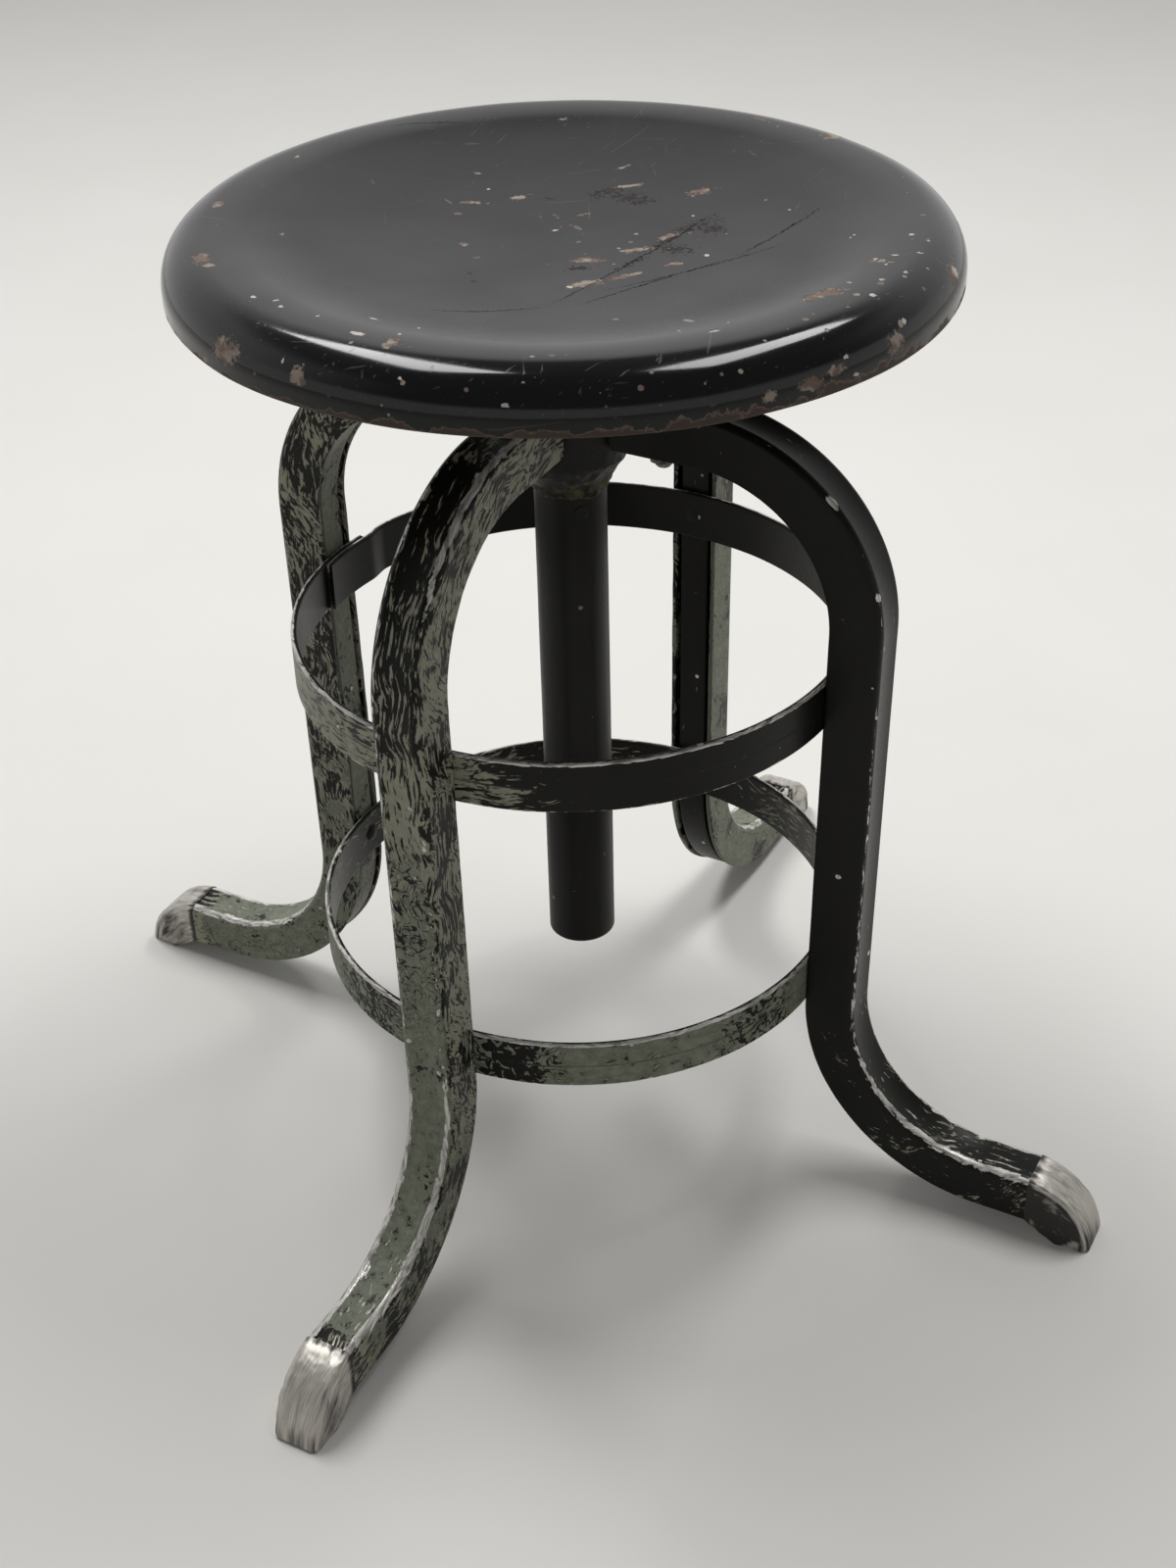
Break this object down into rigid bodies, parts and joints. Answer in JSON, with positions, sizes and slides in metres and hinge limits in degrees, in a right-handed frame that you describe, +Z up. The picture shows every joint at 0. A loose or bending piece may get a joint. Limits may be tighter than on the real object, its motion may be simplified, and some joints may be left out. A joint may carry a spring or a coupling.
{
  "type": "stool",
  "caption": "Round pressed-steel stool with a dished seat on a screw spindle, splayed channel legs with cast end caps, and flat bands bracing the legs",
  "frame": {"origin": "On the floor, under the spindle's axis, at the centre of the soles.", "axes": "+Z is up along the spindle. The legs stand on the diagonals between the X and Y axes. -Y is the front and +X is the sitter's right as seen from the front."},
  "size_m": [0.4354, 0.4354, 0.502],
  "materials": {
    "black_enamel": "gloss enamel, chipped to a brown primer",
    "leg_enamel": "aged dark enamel, crackled and worn to grey-green",
    "cap_iron": "bare brushed cast metal with dark stains",
    "hub_iron": "rough casting under black enamel",
    "plated_steel": "dull plated",
    "screw_steel": "machined, oiled",
    "bush_bronze": "turned, oiled"
  },
  "bodies": {
    "frame": {"front_left_leg_channel": "leg_enamel", "front_left_leg_liner": "leg_enamel", "front_left_foot_cap": "cap_iron", "front_right_leg_channel": "leg_enamel", "front_right_leg_liner": "leg_enamel", "front_right_foot_cap": "cap_iron", "back_right_leg_channel": "leg_enamel", "back_right_leg_liner": "leg_enamel", "back_right_foot_cap": "cap_iron", "back_left_leg_channel": "leg_enamel", "back_left_leg_liner": "leg_enamel", "back_left_foot_cap": "cap_iron", "upper_ring": "leg_enamel", "upper_ring_rivets": "leg_enamel", "lower_ring": "leg_enamel", "lower_ring_rivets": "leg_enamel", "hub_casting": "hub_iron", "leg_bolts": "plated_steel", "leg_nuts": "plated_steel", "guard_tube": "black_enamel", "tube_plugs": "black_enamel"},
    "bush": {"guide_bush": "bush_bronze"},
    "seat": {"spindle": "screw_steel", "foot_washer": "plated_steel", "foot_screw": "plated_steel", "seat_flange": "hub_iron", "cross_pin": "screw_steel", "seat_studs": "plated_steel", "stud_nuts": "plated_steel", "seat_pan": "black_enamel"}
  },
  "joints": [
    {"name": "seat_lift", "type": "slide", "parent": "frame", "child": "bush", "axis": [0, 0, 1], "range_m": [0, 0.1778]},
    {"name": "seat_spin", "type": "hinge", "parent": "bush", "child": "seat", "pos_m": [0, 0, 0.44], "axis": [0, 0, 1], "range_deg": [0, 10080]}
  ],
  "couplings": [
    {"joint": "seat_lift", "follows": "seat_spin", "m_per_rad": 0.0010106}
  ]
}
